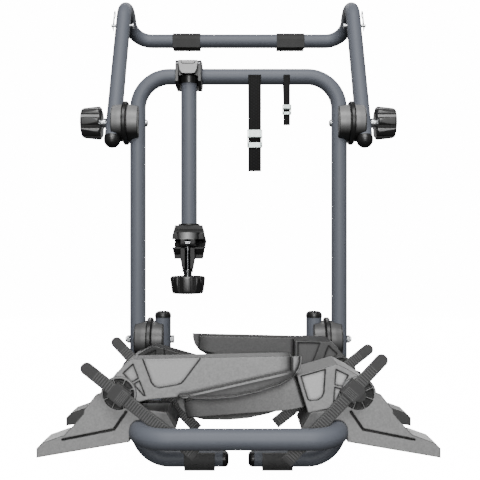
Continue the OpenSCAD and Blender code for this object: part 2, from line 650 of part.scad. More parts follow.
// The jaws stay open in front between these two heights, where the swing bolt hangs.
mouth_top = 4.4;
mouth_low = -10;
module bike_arm_tube() color(frame_grey) difference() {
  zrod(tr, tube_end, top_z - 11.2, arm_x, -arm_off);
  zrod(ti, tube_end - 1, top_z, arm_x, -arm_off);
}
module arm_tube_collar() color(black) difference() {
  zrod(tr + 4.8, tube_end, tube_end + 2.6, arm_x, -arm_off);
  zrod(tr + snug, tube_end - 1, tube_end + 6, arm_x, -arm_off);
}
swing_z = -3;
module upper_jaw_2d() union() {
  intersection() { circle(jaw_r); translate([-60, 1.5]) square([120, 60]); }
  translate([-jaw_r, 1.5]) square([2 * jaw_r, 12]);
  translate([-tr - 2, 10]) square([2 * tr + 4, jaw_top - 10]);
  translate([hinge_y, 0]) circle(6);
  translate([hinge_y - 8, 1.5]) square([8, 8]);
}
module upper_jaw() color(dark) in_clamp() difference() {
  union() {
    difference() {
      intersection() {
        along_x(-jaw_w / 2 - 2, jaw_w / 2 + 2) upper_jaw_2d();
        // shoulders that narrow toward the arm tube
        along_y(-60, 60) polygon([[-jaw_w / 2, -12], [-jaw_w / 2, 6], [-jaw_w / 2 + 0.8, 14],
          [-jaw_w / 2 + 2.6, 23], [-jaw_w / 2 + 4.6, jaw_top + 1], [jaw_w / 2 - 4.6, jaw_top + 1],
          [jaw_w / 2 - 2.6, 23], [jaw_w / 2 - 0.8, 14], [jaw_w / 2, 6], [jaw_w / 2, -12]]);
      }
      translate([-60, -60, -20]) cube([120, 48, 20 + mouth_top]);
    }
    // round boss in front with the two ears of the swing bolt
    zrod(21, mouth_top, 17, 0, bolt_y + 14);
    along_x(-13, 13) union() {
      translate([bolt_y, swing_z]) circle(6.5);
      translate([bolt_y - 6.5, swing_z]) square([11, 8.4]);
    }
    zrod(ti - snug, jaw_top - 3, jaw_top + 22, 0, 0);
  }
  xrod(grip_r + 3 + snug, -jaw_w, jaw_w, 0, 0);
  // room for the lower jaw's middle knuckle and the swing bolt's eye
  translate([-9.2, hinge_y - 6.6, -8]) cube([18.4, 30, 16]);
  translate([-4.6, bolt_y - 20, -12]) cube([9.2, 20 + 8.5, 12 + mouth_top - 0.4]);
  xrod(3 + snug, -jaw_w, jaw_w, hinge_y, 0);
  xrod(3 + snug, -jaw_w, jaw_w, bolt_y, swing_z);
}
module liner_2d(k) difference() {
  circle(grip_r + 3);
  circle(grip_r);
  translate([-60, k > 0 ? -60 : -1.6]) square([120, 61.6]);
  translate([-60, k > 0 ? -60 : mouth_low]) square([48, 60 + mouth_top]);
}
module upper_jaw_liner() color([0.05, 0.05, 0.05]) in_clamp()
  along_x(-jaw_w / 2 + 1, jaw_w / 2 - 1) liner_2d(1);
module lower_jaw_liner() color([0.05, 0.05, 0.05]) in_clamp()
  along_x(-jaw_w / 2 + 1, jaw_w / 2 - 1) liner_2d(-1);
fork_z = -51;
module lower_jaw_2d() union() {
  intersection() { circle(jaw_r); translate([-60, -61.5]) square([120, 60]); }
  translate([-jaw_r, -13.5]) square([2 * jaw_r, 12]);
  translate([-17, -jaw_r - 2.5]) square([34, 16]);
}
module lower_jaw() color(dark) in_clamp() difference() {
  union() {
    difference() {
      intersection() {
        along_x(-jaw_w / 2 - 2, jaw_w / 2 + 2) lower_jaw_2d();
        along_y(-60, 60) polygon([[-jaw_w / 2, 1], [-jaw_w / 2, -4], [-jaw_w / 2 + 0.4, -10],
          [-jaw_w / 2 + 2, -22], [-jaw_w / 2 + 3.8, -34], [jaw_w / 2 - 3.8, -34],
          [jaw_w / 2 - 2, -22], [jaw_w / 2 - 0.4, -10], [jaw_w / 2, -4], [jaw_w / 2, 1]]);
      }
      translate([-60, -60, mouth_low]) cube([120, 48, 30]);
      // room for the upper jaw's two knuckles
      xrod(6.8, -jaw_w, -9, hinge_y, 0);
      xrod(6.8, 9, jaw_w, hinge_y, 0);
    }
    along_x(-9, 9) union() {
      translate([hinge_y, 0]) circle(6);
      translate([hinge_y - 10, -9]) square([10, 7.5]);
    }
    // fork for the swing bolt, narrowing toward its ends, its lower front edge cut back
    intersection() {
      along_x(-20, 20) polygon([[bolt_y - 8, mouth_low - 1.5], [bolt_y - 8, fork_z + 2.5],
        [bolt_y - 4, fork_z], [bolt_y + 13, fork_z], [bolt_y + 13, mouth_low - 1.5]]);
      along_y(-60, 0) polygon([[-13, -31], [-9, fork_z - 1], [9, fork_z - 1], [13, -31], [13, 0],
        [-13, 0]]);
    }
    translate([-13, bolt_y, -31]) cube([26, 21, 31 + mouth_low - 1.5]);
  }
  xrod(grip_r + 3 + snug, -jaw_w, jaw_w, 0, 0);
  translate([-4.6, bolt_y - 20, -80]) cube([9.2, 20 + 5, 90]);
  xrod(3 + run, -jaw_w, jaw_w, hinge_y, 0);
}
module jaw_pins() color(silver) in_clamp() {
  xrod(3, -jaw_w / 2, jaw_w / 2, hinge_y, 0);
  xrod(3, -13, 13, bolt_y, swing_z);
}
nut_z = fork_z - 0.2;
module swing_bolt() color(silver) in_clamp() difference() {
  union() {
    xrod(6.4, -4.2, 4.2, bolt_y, swing_z);
    zrod(bolt_r, nut_z - 38, swing_z, 0, bolt_y);
  }
  xrod(3 + run, -20, 20, bolt_y, swing_z);
}
module clamp_nut() color(silver) in_clamp() difference() {
  union() {
    zrod(9.75, nut_z - 4, nut_z, 0, bolt_y);
    zrod(7.6, nut_z - 11, nut_z - 4, 0, bolt_y);
  }
  zrod(bolt_r + run, nut_z - 20, nut_z + 5, 0, bolt_y);
}
module clamp_knob() color(black) in_clamp() translate([0, bolt_y, nut_z - 11.2])
  rotate([180, 0, 0]) knob(clamp_knob_r, 31, bolt_r + run, 28);
// Rubber loop fixed to the upper jaw's side.
module jaw_keeper_loop() color(black) in_clamp() translate([jaw_w / 2 - 29, 0, 0])
  along_y(-27, -21) polygon([[28.42, 12], [28.28, 13.4], [30.4, 12.6], [33.6, 1], [31, -13],
    [29.4, -13], [31.8, 1], [29.6, 10.6]]);

// Tie straps over the top tube.
// Webbing loop: over the tube, both runs down to the buckle, then one tail below it.
web_t = 1.6;
module web_2d(loop_len, drop) {
  ra = tr + 0.35;
  rb = ra + web_t;
  // both sides of the rear run leave the tube along a tangent and end on the front run
  h1 = loop_len - 12;
  h2 = loop_len + 6;
  a0 = -2 * atan(ra / h1);
  a1 = acos(rb / norm([ra, h2])) - 90 - atan(ra / h2);
  difference() {
    polygon(concat([for (i = [0 : 24]) let (a = a1 + (180 - a1) * i / 24) [rb * cos(a), rb * sin(a)]],
      [[-rb, -drop], [-ra, -drop], [-ra, -h2]]));
    polygon(concat([for (i = [0 : 24]) let (a = a0 + (180 - a0) * i / 24) [ra * cos(a), ra * sin(a)]],
      [[-ra, -h1]]));
  }
}
module wide_strap() color(black) translate([0, 0, top_z])
  along_x(30.5 - wide_w / 2, 30.5 + wide_w / 2) web_2d(96, wide_drop);
module narrow_strap() color(black) translate([0, 0, top_z])
  along_x(91 - narrow_w / 2, 91 + narrow_w / 2) web_2d(52, narrow_drop);
// Cam buckle: a bent plate behind the webbing with two ears that carry a lever.
module buckle(x, w, z0, h) translate([x, -tr - 0.35 - web_t, z0]) difference() {
  union() {
    for (k = [-1, 1]) translate([k * (w / 2 + 1.1) - 0.7, -5.5, -h]) cube([1.4, 7.6, h]);
    translate([-w / 2 - 1.8, -2.4, -h]) cube([w + 3.6, 1.8, h * 0.28]);
    translate([-w / 2 - 1.8, -2.4, -2]) cube([w + 3.6, 1.8, 2]);
  }
  xrod(1.5 + snug, -w, w, -3.4, -h * 0.42);
}
module buckle_lever(x, w, z0, h) translate([x, -tr - 0.35 - web_t, z0]) {
  difference() {
    union() {
      xrod(2.2, -w / 2 + 0.1, w / 2 - 0.1, -3.4, -h * 0.42);
      translate([-w / 2 + 0.1, -6.4, -h * 0.42]) cube([w - 0.2, 1.6, h * 0.40]);
      translate([-w / 2 + 0.1, -5.6, -h * 0.42]) cube([w - 0.2, 1.4, 2]);
    }
  }
  xrod(1.5, -w / 2 - 1.7, w / 2 + 1.7, -3.4, -h * 0.42);
}
wide_bz = top_z - 104;
narrow_bz = top_z - 57;
module wide_buckle() color(silver) buckle(30.5, wide_w, wide_bz, 33);
module wide_buckle_lever() color(silver) buckle_lever(30.5, wide_w, wide_bz, 33);
module narrow_buckle() color(silver) buckle(91, narrow_w, narrow_bz, 18);
module narrow_buckle_lever() color(silver) buckle_lever(91, narrow_w, narrow_bz, 18);

main_frame();
bottom_end_caps();
bumper_pads();
upper_frame();
arm_end_caps();
upper_pads();
strap_pins();
strap_pin_clips();
arm_hinge_discs();
upper_hinge_rings();
post_hinge_discs();
upper_hinge_bolts();
hinge_spacers();
hinge_knob_left();
hinge_knob_right();
lower_post_discs();
lower_hinge_rings();
platform_discs();
platform_bolts();
platform_nuts();
platform_frame();
platform_end_caps();
foot_near_left();
foot_near_right();
foot_far_left();
foot_far_right();
tray_near_left();
tray_near_right();
tray_far_left();
tray_far_right();
tray_axles();
strap_near_left();
strap_near_right();
strap_far_left();
strap_far_right();
keeper_near_left();
keeper_near_right();
keeper_far_left();
keeper_far_right();
bike_arm_head();
arm_head_lever();
lever_pin();
bike_arm_tube();
arm_tube_collar();
upper_jaw();
upper_jaw_liner();
lower_jaw();
lower_jaw_liner();
jaw_pins();
swing_bolt();
clamp_nut();
clamp_knob();
jaw_keeper_loop();
wide_strap();
wide_buckle();
wide_buckle_lever();
narrow_strap();
narrow_buckle();
narrow_buckle_lever();
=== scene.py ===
import math
import bpy
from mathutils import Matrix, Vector


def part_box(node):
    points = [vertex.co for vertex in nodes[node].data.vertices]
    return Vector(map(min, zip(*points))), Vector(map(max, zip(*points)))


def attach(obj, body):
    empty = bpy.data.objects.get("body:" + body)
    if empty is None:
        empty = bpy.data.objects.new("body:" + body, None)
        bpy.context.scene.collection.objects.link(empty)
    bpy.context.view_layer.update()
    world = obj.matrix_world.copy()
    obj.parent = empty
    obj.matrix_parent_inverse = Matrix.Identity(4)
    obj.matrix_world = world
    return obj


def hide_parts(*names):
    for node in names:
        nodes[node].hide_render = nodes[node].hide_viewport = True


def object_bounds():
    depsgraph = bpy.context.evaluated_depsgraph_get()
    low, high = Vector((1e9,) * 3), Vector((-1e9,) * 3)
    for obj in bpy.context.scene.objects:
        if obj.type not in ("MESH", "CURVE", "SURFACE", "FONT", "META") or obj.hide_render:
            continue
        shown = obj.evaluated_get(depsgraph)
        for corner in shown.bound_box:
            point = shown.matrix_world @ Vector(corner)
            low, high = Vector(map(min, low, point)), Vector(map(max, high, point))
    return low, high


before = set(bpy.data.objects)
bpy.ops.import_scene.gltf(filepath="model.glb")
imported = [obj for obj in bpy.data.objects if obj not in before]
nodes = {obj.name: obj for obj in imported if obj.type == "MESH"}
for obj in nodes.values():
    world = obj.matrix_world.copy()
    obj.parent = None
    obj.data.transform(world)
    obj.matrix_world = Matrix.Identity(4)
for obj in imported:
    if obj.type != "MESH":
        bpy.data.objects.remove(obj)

cad_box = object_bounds()

# Camera: level, straight in front of the rack at the height of the clamp, as the photograph
# was taken. The picture is 480 pixels square; its centre lies 1.5 pixels right of the lens axis.
CAMERA_PLACE = (0.0, -1.400, 0.4175)
LENS_MM, SENSOR_MM = 55.0, 36.0
PICTURE_PX, OFF_CENTRE_PX = 480, 1.5
camera_data = bpy.data.cameras.new("Camera")
camera_data.lens = LENS_MM
camera_data.sensor_width = SENSOR_MM
camera_data.shift_x = OFF_CENTRE_PX / PICTURE_PX
camera = bpy.data.objects.new("Camera", camera_data)
camera.location = CAMERA_PLACE
camera.rotation_euler = (math.radians(90), 0, 0)
bpy.context.scene.collection.objects.link(camera)
bpy.context.scene.camera = camera

# Studio: a pale paper sweep, laid flat under the rack and curved up far behind it.
# One plane, its back edge drawn back and up in short steps round a large radius, lit evenly.
PAPER_HALF, PAPER_WALL = 4.0, 5.0
CURVE_RADIUS, CURVE_STEPS = 1.6, 12
FLOOR_GAP = 0.001
PAPER_GLOW = 15.0


def select_edges(piece, chosen):
    """Leaves a piece in edit mode, with only those edges selected whose ends both pass a test."""
    bpy.ops.object.mode_set(mode="EDIT")
    bpy.ops.mesh.select_mode(type="EDGE")
    bpy.ops.mesh.select_all(action="DESELECT")
    bpy.ops.object.mode_set(mode="OBJECT")
    for edge in piece.data.edges:
        edge.select = all(chosen(piece.data.vertices[end].co) for end in edge.vertices)
    bpy.ops.object.mode_set(mode="EDIT")


bpy.ops.object.select_all(action="DESELECT")
bpy.ops.mesh.primitive_plane_add(size=2 * PAPER_HALF,
                                 location=(0, 0, cad_box[0].z - FLOOR_GAP))
paper = bpy.context.object
paper.name = "studio_paper"
select_edges(paper, lambda point: point.y > 0)
for step in range(CURVE_STEPS):
    before, after = (math.radians(90 * k / CURVE_STEPS) for k in (step, step + 1))
    bpy.ops.mesh.extrude_region_move(TRANSFORM_OT_translate={"value": (
        0, CURVE_RADIUS * (math.sin(after) - math.sin(before)),
        CURVE_RADIUS * (math.cos(before) - math.cos(after)))})
bpy.ops.mesh.extrude_region_move(TRANSFORM_OT_translate={"value": (0, 0, PAPER_WALL)})
bpy.ops.mesh.select_all(action="SELECT")
bpy.ops.mesh.normals_make_consistent(inside=False)
bpy.ops.object.mode_set(mode="OBJECT")
bpy.ops.object.shade_smooth()
paper_material = bpy.data.materials.new("pale_paper")
paper_material.use_nodes = True
paper_shader = paper_material.node_tree.nodes["Principled BSDF"]
paper_shader.inputs["Base Color"].default_value = (0.93, 0.93, 0.93, 1)
paper_shader.inputs["Roughness"].default_value = 0.9
paper_shader.inputs["Specular IOR Level"].default_value = 0.1
paper_shader.inputs["Emission Color"].default_value = (1, 1, 1, 1)
paper_shader.inputs["Emission Strength"].default_value = PAPER_GLOW
paper.data.materials.append(paper_material)
paper.visible_diffuse = False
paper.visible_glossy = False


# Lights: one wide soft box high in front, one smaller near the camera, two weak tall ones at
# the sides, one high and two low ones behind, and a dim plain surround.
def soft_box(name, place, aim, width, height, watts):
    """A rectangular soft light at a place, turned toward the point it lights."""
    data = bpy.data.lights.new(name, "AREA")
    data.shape = "RECTANGLE"
    data.size, data.size_y = width, height
    data.energy = watts
    lamp = bpy.data.objects.new(name, data)
    lamp.location = place
    lamp.rotation_mode = "QUATERNION"
    lamp.rotation_quaternion = (Vector(aim) - Vector(place)).to_track_quat("-Z", "Y")
    bpy.context.scene.collection.objects.link(lamp)


soft_box("light_top", (0.0, -1.5, 2.5), (0, -0.1, 0.40), 1.6, 0.9, 76)
soft_box("light_left", (-2.4, -0.9, 1.3), (0, 0, 0.4), 0.6, 1.8, 1.2)
soft_box("light_right", (2.4, -0.9, 1.3), (0, 0, 0.4), 0.6, 1.8, 1.8)
soft_box("light_front", (0.0, -3.2, 1.0), (0, 0, 0.35), 0.6, 0.8, 76)
soft_box("light_back", (0.0, 2.2, 2.8), (0, 0, 0.5), 2.4, 1.0, 40)
soft_box("light_back_left", (-1.5, 2.4, 0.9), (0, 0, 0.4), 1.0, 1.6, 16)
soft_box("light_back_right", (1.5, 2.4, 0.9), (0, 0, 0.4), 1.0, 1.6, 16)
SURROUND_GLOW = 0.06
world = bpy.data.worlds.new("surround")
world.use_nodes = True
world.node_tree.nodes["Background"].inputs["Color"].default_value = (1, 1, 1, 1)
world.node_tree.nodes["Background"].inputs["Strength"].default_value = SURROUND_GLOW
bpy.context.scene.world = world


# Frame tubes: steel tube, bent cold and covered with a satin slate powder coat. The coat has a
# faint orange peel and thins on the few sharp edges.
def new_material(name, roughness, metallic=0.0, specular=0.5):
    """A node material; returns the material, its node tree and its Principled shader."""
    material = bpy.data.materials.new(name)
    material.use_nodes = True
    shader = material.node_tree.nodes["Principled BSDF"]
    shader.inputs["Roughness"].default_value = roughness
    shader.inputs["Metallic"].default_value = metallic
    shader.inputs["Specular IOR Level"].default_value = specular
    return material, material.node_tree, shader


def new_group(name, inputs, outputs):
    """A shader group with named sockets: inputs as name: value, outputs as name: kind."""
    tree = bpy.data.node_groups.new(name, "ShaderNodeTree")
    for label, value in inputs.items():
        socket = tree.interface.new_socket(label, in_out="INPUT", socket_type="NodeSocketFloat")
        socket.default_value = value
    for label, kind in outputs.items():
        tree.interface.new_socket(label, in_out="OUTPUT", socket_type="NodeSocket" + kind)
    return tree, tree.nodes.new("NodeGroupInput"), tree.nodes.new("NodeGroupOutput")


def place_group(tree, group, **values):
    """Puts a group into a material's tree with its own values."""
    node = tree.nodes.new("ShaderNodeGroup")
    node.node_tree = group
    for label, value in values.items():
        node.inputs[label].default_value = value
    return node


def math_node(tree, operation, *values, clamp=False):
    """A maths node; the values are sockets or plain numbers, in the order of its inputs."""
    node = tree.nodes.new("ShaderNodeMath")
    node.operation = operation
    node.use_clamp = clamp
    for socket, value in zip(node.inputs, values):
        if isinstance(value, (int, float)):
            socket.default_value = value
        else:
            tree.links.new(value, socket)
    return node.outputs[0]


def multiply_add(tree, a, factor, offset, clamp=False):
    """a times factor plus offset; each is a socket or a plain number."""
    return math_node(tree, "MULTIPLY_ADD", a, factor, offset, clamp=clamp)


def axes_of(tree, kind):
    """The x, y and z of a texture coordinate: Object for the place, Normal for the facing."""
    place = tree.nodes.new("ShaderNodeTexCoord")
    axes = tree.nodes.new("ShaderNodeSeparateXYZ")
    tree.links.new(place.outputs[kind], axes.inputs[0])
    return axes.outputs["X"], axes.outputs["Y"], axes.outputs["Z"]


def grey(value):
    """A neutral colour."""
    return value, value, value


def scaled(colour, factor):
    """A colour, darker or lighter by a factor."""
    return tuple(factor * part for part in colour)


def blend_colour(tree, factor, first, second):
    """Mixes two colours, or colour sockets, by a factor socket."""
    node = tree.nodes.new("ShaderNodeMix")
    node.data_type = "RGBA"
    tree.links.new(factor, node.inputs["Factor"])
    for slot, colour in (("A", first), ("B", second)):
        socket = [s for s in node.inputs if s.name == slot and s.type == "RGBA"][0]
        if isinstance(colour, tuple):
            socket.default_value = (*colour, 1)
        else:
            tree.links.new(colour, socket)
    return [s for s in node.outputs if s.type == "RGBA"][0]


def tint(material, share, colour):
    """Blends a colour over a material's present base colour, by a share socket."""
    tree = material.node_tree
    base = tree.nodes["Principled BSDF"].inputs["Base Color"]
    tree.links.new(blend_colour(tree, share, base.links[0].from_socket, colour), base)


def add_bump(tree, shader, height, strength, distance, normal=None):
    """A bump from a height socket, over a given normal, into the shader."""
    node = tree.nodes.new("ShaderNodeBump")
    node.inputs["Strength"].default_value = strength
    node.inputs["Distance"].default_value = distance
    tree.links.new(height, node.inputs["Height"])
    if normal is not None:
        tree.links.new(normal, node.inputs["Normal"])
    tree.links.new(node.outputs["Normal"], shader.inputs["Normal"])


# Rounded edges: the normal turned round each edge, and a mask that is 1 on the edge itself.
EDGE_GAIN = 6.0
soft_edges, edges_in, edges_out = new_group(
    "soft_edges", {"Radius": 0.001}, {"Normal": "Vector", "Edge": "Float"})
edge_round = soft_edges.nodes.new("ShaderNodeBevel")
edge_round.samples = 6
edge_true = soft_edges.nodes.new("ShaderNodeNewGeometry")
edge_dot = soft_edges.nodes.new("ShaderNodeVectorMath")
edge_dot.operation = "DOT_PRODUCT"
soft_edges.links.new(edges_in.outputs["Radius"], edge_round.inputs["Radius"])
soft_edges.links.new(edge_round.outputs["Normal"], edge_dot.inputs[0])
soft_edges.links.new(edge_true.outputs["True Normal"], edge_dot.inputs[1])
soft_edges.links.new(edge_round.outputs["Normal"], edges_out.inputs["Normal"])
edge_turn = math_node(soft_edges, "SUBTRACT", 1.0, edge_dot.outputs["Value"])
soft_edges.links.new(math_node(soft_edges, "MULTIPLY", edge_turn, EDGE_GAIN, clamp=True),
                     edges_out.inputs["Edge"])

# Corner shade: painted shade, 1 in the inner corners of a piece where shadow gathers, 0 on its
# open faces.
OPEN_FACE = 0.965
corner_shading, corner_shading_in, corner_shading_out = new_group("corner_shading", {"Reach": 0.003, "Gain": 3.0}, {"Share": "Float"})
seam_shade = corner_shading.nodes.new("ShaderNodeAmbientOcclusion")
seam_shade.only_local = True
seam_shade.samples = 8
corner_shading.links.new(corner_shading_in.outputs["Reach"], seam_shade.inputs["Distance"])
occlusion_depth = math_node(corner_shading, "SUBTRACT", OPEN_FACE, seam_shade.outputs["AO"])
corner_shading.links.new(math_node(corner_shading, "MULTIPLY", occlusion_depth, corner_shading_in.outputs["Gain"], clamp=True),
                corner_shading_out.inputs["Share"])

# Grain: a fine height for bump, and a slower tone that varies over the surface.
grain, grain_in, grain_out = new_group(
    "grain", {"Fine": 700.0, "Slow": 40.0}, {"Height": "Float", "Tone": "Float"})
grain_place = grain.nodes.new("ShaderNodeTexCoord")
for label, size_name, detail in (("Height", "Fine", 2.0), ("Tone", "Slow", 5.0)):
    noise = grain.nodes.new("ShaderNodeTexNoise")
    noise.inputs["Detail"].default_value = detail
    grain.links.new(grain_place.outputs["Object"], noise.inputs["Vector"])
    grain.links.new(grain_in.outputs[size_name], noise.inputs["Scale"])
    grain.links.new(noise.outputs["Fac"], grain_out.inputs[label])

PAINT = (0.092, 0.100, 0.119)
PAINT_LIGHT = (0.106, 0.115, 0.136)
EDGE_STEEL = (0.15, 0.16, 0.18)
frame_paint, tree, shader = new_material("frame_paint", 0.56, specular=0.35)
peel = place_group(tree, grain, Fine=420.0, Slow=9.0)
edges = place_group(tree, soft_edges, Radius=0.0008)
paint_tone = blend_colour(tree, peel.outputs["Tone"], PAINT, PAINT_LIGHT)
worn = math_node(tree, "MULTIPLY", edges.outputs["Edge"], peel.outputs["Tone"], clamp=True)
tree.links.new(blend_colour(tree, worn, paint_tone, EDGE_STEEL), shader.inputs["Base Color"])
add_bump(tree, shader, peel.outputs["Height"], 0.10, 0.0004, edges.outputs["Normal"])


def dress(material, *names):
    """Gives CAD nodes their finish."""
    for name in names:
        for slot in nodes[name].material_slots:
            slot.material = material


dress(frame_paint, "main_frame", "upper_frame", "platform_frame", "bike_arm_tube")


# Pads on the bottom bar and on the upper frame's rear tube: soft black foam rubber, moulded
# in one piece round the tube, dull, with a fine open grain and chalky rubbed edges.
def rubber_material(name, base, rubbed, fine):
    """A dull rubber with grain and rubbed edges."""
    material, tree, shader = new_material(name, 0.6, specular=0.2)
    skin = place_group(tree, grain, Fine=fine, Slow=55.0)
    edges = place_group(tree, soft_edges, Radius=0.0012)
    tone = blend_colour(tree, skin.outputs["Tone"], base, scaled(base, 1.7))
    chalk = math_node(tree, "MULTIPLY", edges.outputs["Edge"], 0.5)
    tree.links.new(blend_colour(tree, chalk, tone, rubbed), shader.inputs["Base Color"])
    add_bump(tree, shader, skin.outputs["Height"], 0.5, 0.0006, edges.outputs["Normal"])
    return material


dress(rubber_material("pad_rubber", grey(0.019), grey(0.05), fine=900.0), "upper_pads")
dress(rubber_material("bumper_rubber", grey(0.05), grey(0.10), fine=900.0), "bumper_pads")
dress(rubber_material("liner_rubber", grey(0.008), grey(0.02), fine=1400.0),
      "upper_jaw_liner", "lower_jaw_liner")


# Black fittings: end caps, hinge rings, knobs, the arm's head and collar, moulded in glass-filled
# nylon. Satin black with a fine spark-eroded grain, darker lines along edges, and painted shade
# in the inner corners.
def vary_roughness(tree, shader, tone, middle, spread):
    """Lets the roughness follow a tone, evenly about its middle value."""
    tree.links.new(multiply_add(tree, tone, spread, middle - spread / 2),
                   shader.inputs["Roughness"])


def plastic_material(name, base, edge_colour, edge_share, fine, depth, roughness, radius=0.001,
                     mottle=0.12, specular=0.5, shade_reach=0.003, shade_gain=3.0):
    """A moulded plastic with grain, a mottled tone, marked edges and painted shade in its inner
    corners.
    """
    material, tree, shader = new_material(name, roughness, specular=specular)
    skin = place_group(tree, grain, Fine=fine, Slow=30.0)
    edges = place_group(tree, soft_edges, Radius=radius)
    speck = place_group(tree, grain, Fine=520.0, Slow=380.0)
    tone = blend_colour(tree, speck.outputs["Tone"], scaled(base, 1 - mottle),
                        scaled(base, 1 + mottle))
    edge = math_node(tree, "MULTIPLY", edges.outputs["Edge"], edge_share, clamp=True)
    # Painted shade in the inner corners, from ambient occlusion.
    corner_shade = place_group(tree, corner_shading, Reach=shade_reach, Gain=shade_gain)
    share = math_node(tree, "MAXIMUM", edge, corner_shade.outputs["Share"])
    tree.links.new(blend_colour(tree, share, tone, edge_colour), shader.inputs["Base Color"])
    vary_roughness(tree, shader, skin.outputs["Tone"], roughness, 0.16)
    add_bump(tree, shader, skin.outputs["Height"], depth, 0.0004, edges.outputs["Normal"])
    return material


black_plastic = plastic_material("black_plastic", grey(0.009), grey(0.003), edge_share=0.5,
                                 fine=1100.0, depth=0.08, roughness=0.40)
dress(black_plastic, "bottom_end_caps", "arm_end_caps", "upper_hinge_rings", "lower_hinge_rings",
      "platform_end_caps", "bike_arm_head", "arm_tube_collar", "jaw_keeper_loop")

# Hinge knobs: eight-lobed hand wheels on the upper hinge bolts, moulded in the same black
# nylon. Hands have polished them, so that their lobes catch the light.
knob_plastic = plastic_material("knob_plastic", grey(0.014), grey(0.003), edge_share=0.6,
                                fine=1100.0, depth=0.08, roughness=0.44, radius=0.0012,
                                specular=1.0)
knob_shader = knob_plastic.node_tree.nodes["Principled BSDF"]
knob_shader.inputs["Coat Weight"].default_value = 0.3
knob_shader.inputs["Coat Roughness"].default_value = 0.42
dress(knob_plastic, "hinge_knob_left", "hinge_knob_right")

# Hinge housings: the same nylon in dark grey, with a smooth satin face that catches the light,
# and dark lines along the edges. Their undersides are painted black as shade, the more the
# further they face down, and the lower discs are a darker copy of the same nylon, painted shade
# for their lower place.
# Near black, for painted shade and dark lines.
SHADE_BLACK = grey(0.004)


def paint_shade_by_facing(material, slope, offset, share):
    """Paints shade: blackens faces by how far they look up, or down where the slope is negative.
    """
    tree = material.node_tree
    facing_up = axes_of(tree, "Normal")[2]
    facing = multiply_add(tree, facing_up, slope, offset, clamp=True)
    tint(material, math_node(tree, "MULTIPLY", facing, share), SHADE_BLACK)


for name, tone, housings in (
        ("housing_plastic", 0.165, ("arm_hinge_discs", "post_hinge_discs")),
        ("shaded_housing_plastic", 0.070, ("lower_post_discs", "platform_discs"))):
    housing_plastic = plastic_material(name, grey(tone), SHADE_BLACK, edge_share=5.0, fine=900.0,
                                       depth=0.12, roughness=0.42, radius=0.0026)
    # Painted shade on the undersides.
    paint_shade_by_facing(housing_plastic, slope=-1.7, offset=-0.10, share=0.96)
    dress(housing_plastic, *housings)


# Clamp: black jaws and knob. The upper jaw's round front boss and one lobe of the clamp knob
# carry a painted highlight, pale in their middle.
FRONT_FACING = -0.3


def paint_highlight(material, middle_x, half_x, low_z, high_z, fade, colour):
    """A painted highlight on the front, strongest in its middle and fading down by fade per
    metre.
    """
    tree = material.node_tree
    across, _, up = axes_of(tree, "Object")
    facing_back = axes_of(tree, "Normal")[1]
    aside = math_node(tree, "ABSOLUTE", math_node(tree, "SUBTRACT", across, middle_x))
    middle = multiply_add(tree, aside, -1.0 / half_x, 1.0, clamp=True)
    in_band = math_node(tree, "MULTIPLY", math_node(tree, "GREATER_THAN", up, low_z),
                        math_node(tree, "LESS_THAN", up, high_z))
    in_front = math_node(tree, "LESS_THAN", facing_back, FRONT_FACING)
    strength = math_node(tree, "MULTIPLY", math_node(tree, "POWER", middle, 1.5),
                         multiply_add(tree, up, fade, 1.0 - fade * high_z, clamp=True))
    tint(material, math_node(tree, "MULTIPLY", strength,
                             math_node(tree, "MULTIPLY", in_band, in_front)), colour)


jaw_plastic, highlit_jaw_plastic = (
    plastic_material(name, grey(0.014), grey(0.003), edge_share=0.7, fine=900.0, depth=0.06,
                     roughness=0.44, radius=0.0016, specular=0.22)
    for name in ("jaw_plastic", "highlit_jaw_plastic"))
# Painted highlight on the upper jaw's front boss.
paint_highlight(highlit_jaw_plastic, middle_x=-0.0935, half_x=0.021, low_z=0.4190, high_z=0.4312,
          fade=0.0, colour=grey(0.36))
dress(jaw_plastic, "lower_jaw")
dress(highlit_jaw_plastic, "upper_jaw")
clamp_knob_plastic = plastic_material("clamp_knob_plastic", grey(0.010), grey(0.003),
                                      edge_share=0.6, fine=1100.0, depth=0.08, roughness=0.36,
                                      radius=0.0012)
# Painted highlight on the clamp knob's front lobe.
paint_highlight(clamp_knob_plastic, middle_x=-0.0905, half_x=0.0105, low_z=0.3235, high_z=0.3530,
          fade=34.0, colour=grey(0.26))
dress(clamp_knob_plastic, "clamp_knob")


# Wheel trays and feet: big mouldings in mid grey plastic with a coarse leathery grain. Their
# edges are drawn as thin black lines, the corners of the sunk panels carry thin black lines of
# painted shade, and the sunk panels, 1.4 mm deep, are polished smoother and paler than the faces
# round them. The feet's sunk grooves are painted near black, as painted shade.
DEPTH_TOLERANCE = 0.0003


def tray_material(name, base, sunk_colour, sunk_depths):
    """Grained plastic whose sunk places, at two depths in y, are coloured apart from its faces.
    """
    material = plastic_material(name, base, SHADE_BLACK, edge_share=1.0, fine=620.0, depth=0.5,
                                roughness=0.46, radius=0.0030, mottle=0.38, shade_reach=0.0065,
                                shade_gain=9.0)
    tree = material.node_tree
    base_colour = tree.nodes["Principled BSDF"].inputs["Base Color"]
    faces = base_colour.links[0].from_node
    edge_share = faces.inputs["Factor"].links[0].from_socket
    tone = [s for s in faces.inputs if s.name == "A" and s.type == "RGBA"][0].links[0].from_socket
    depth_y = axes_of(tree, "Object")[1]
    near_sunk, far_sunk = (math_node(tree, "COMPARE", depth_y, depth, DEPTH_TOLERANCE)
                           for depth in sunk_depths)
    speck = place_group(tree, grain, Fine=520.0, Slow=420.0)
    sunk = blend_colour(tree, speck.outputs["Tone"], scaled(sunk_colour, 0.8),
                        scaled(sunk_colour, 1.2))
    both_tones = blend_colour(tree, math_node(tree, "MAXIMUM", near_sunk, far_sunk), tone, sunk)
    tree.links.new(blend_colour(tree, edge_share, both_tones, SHADE_BLACK), base_colour)
    return material
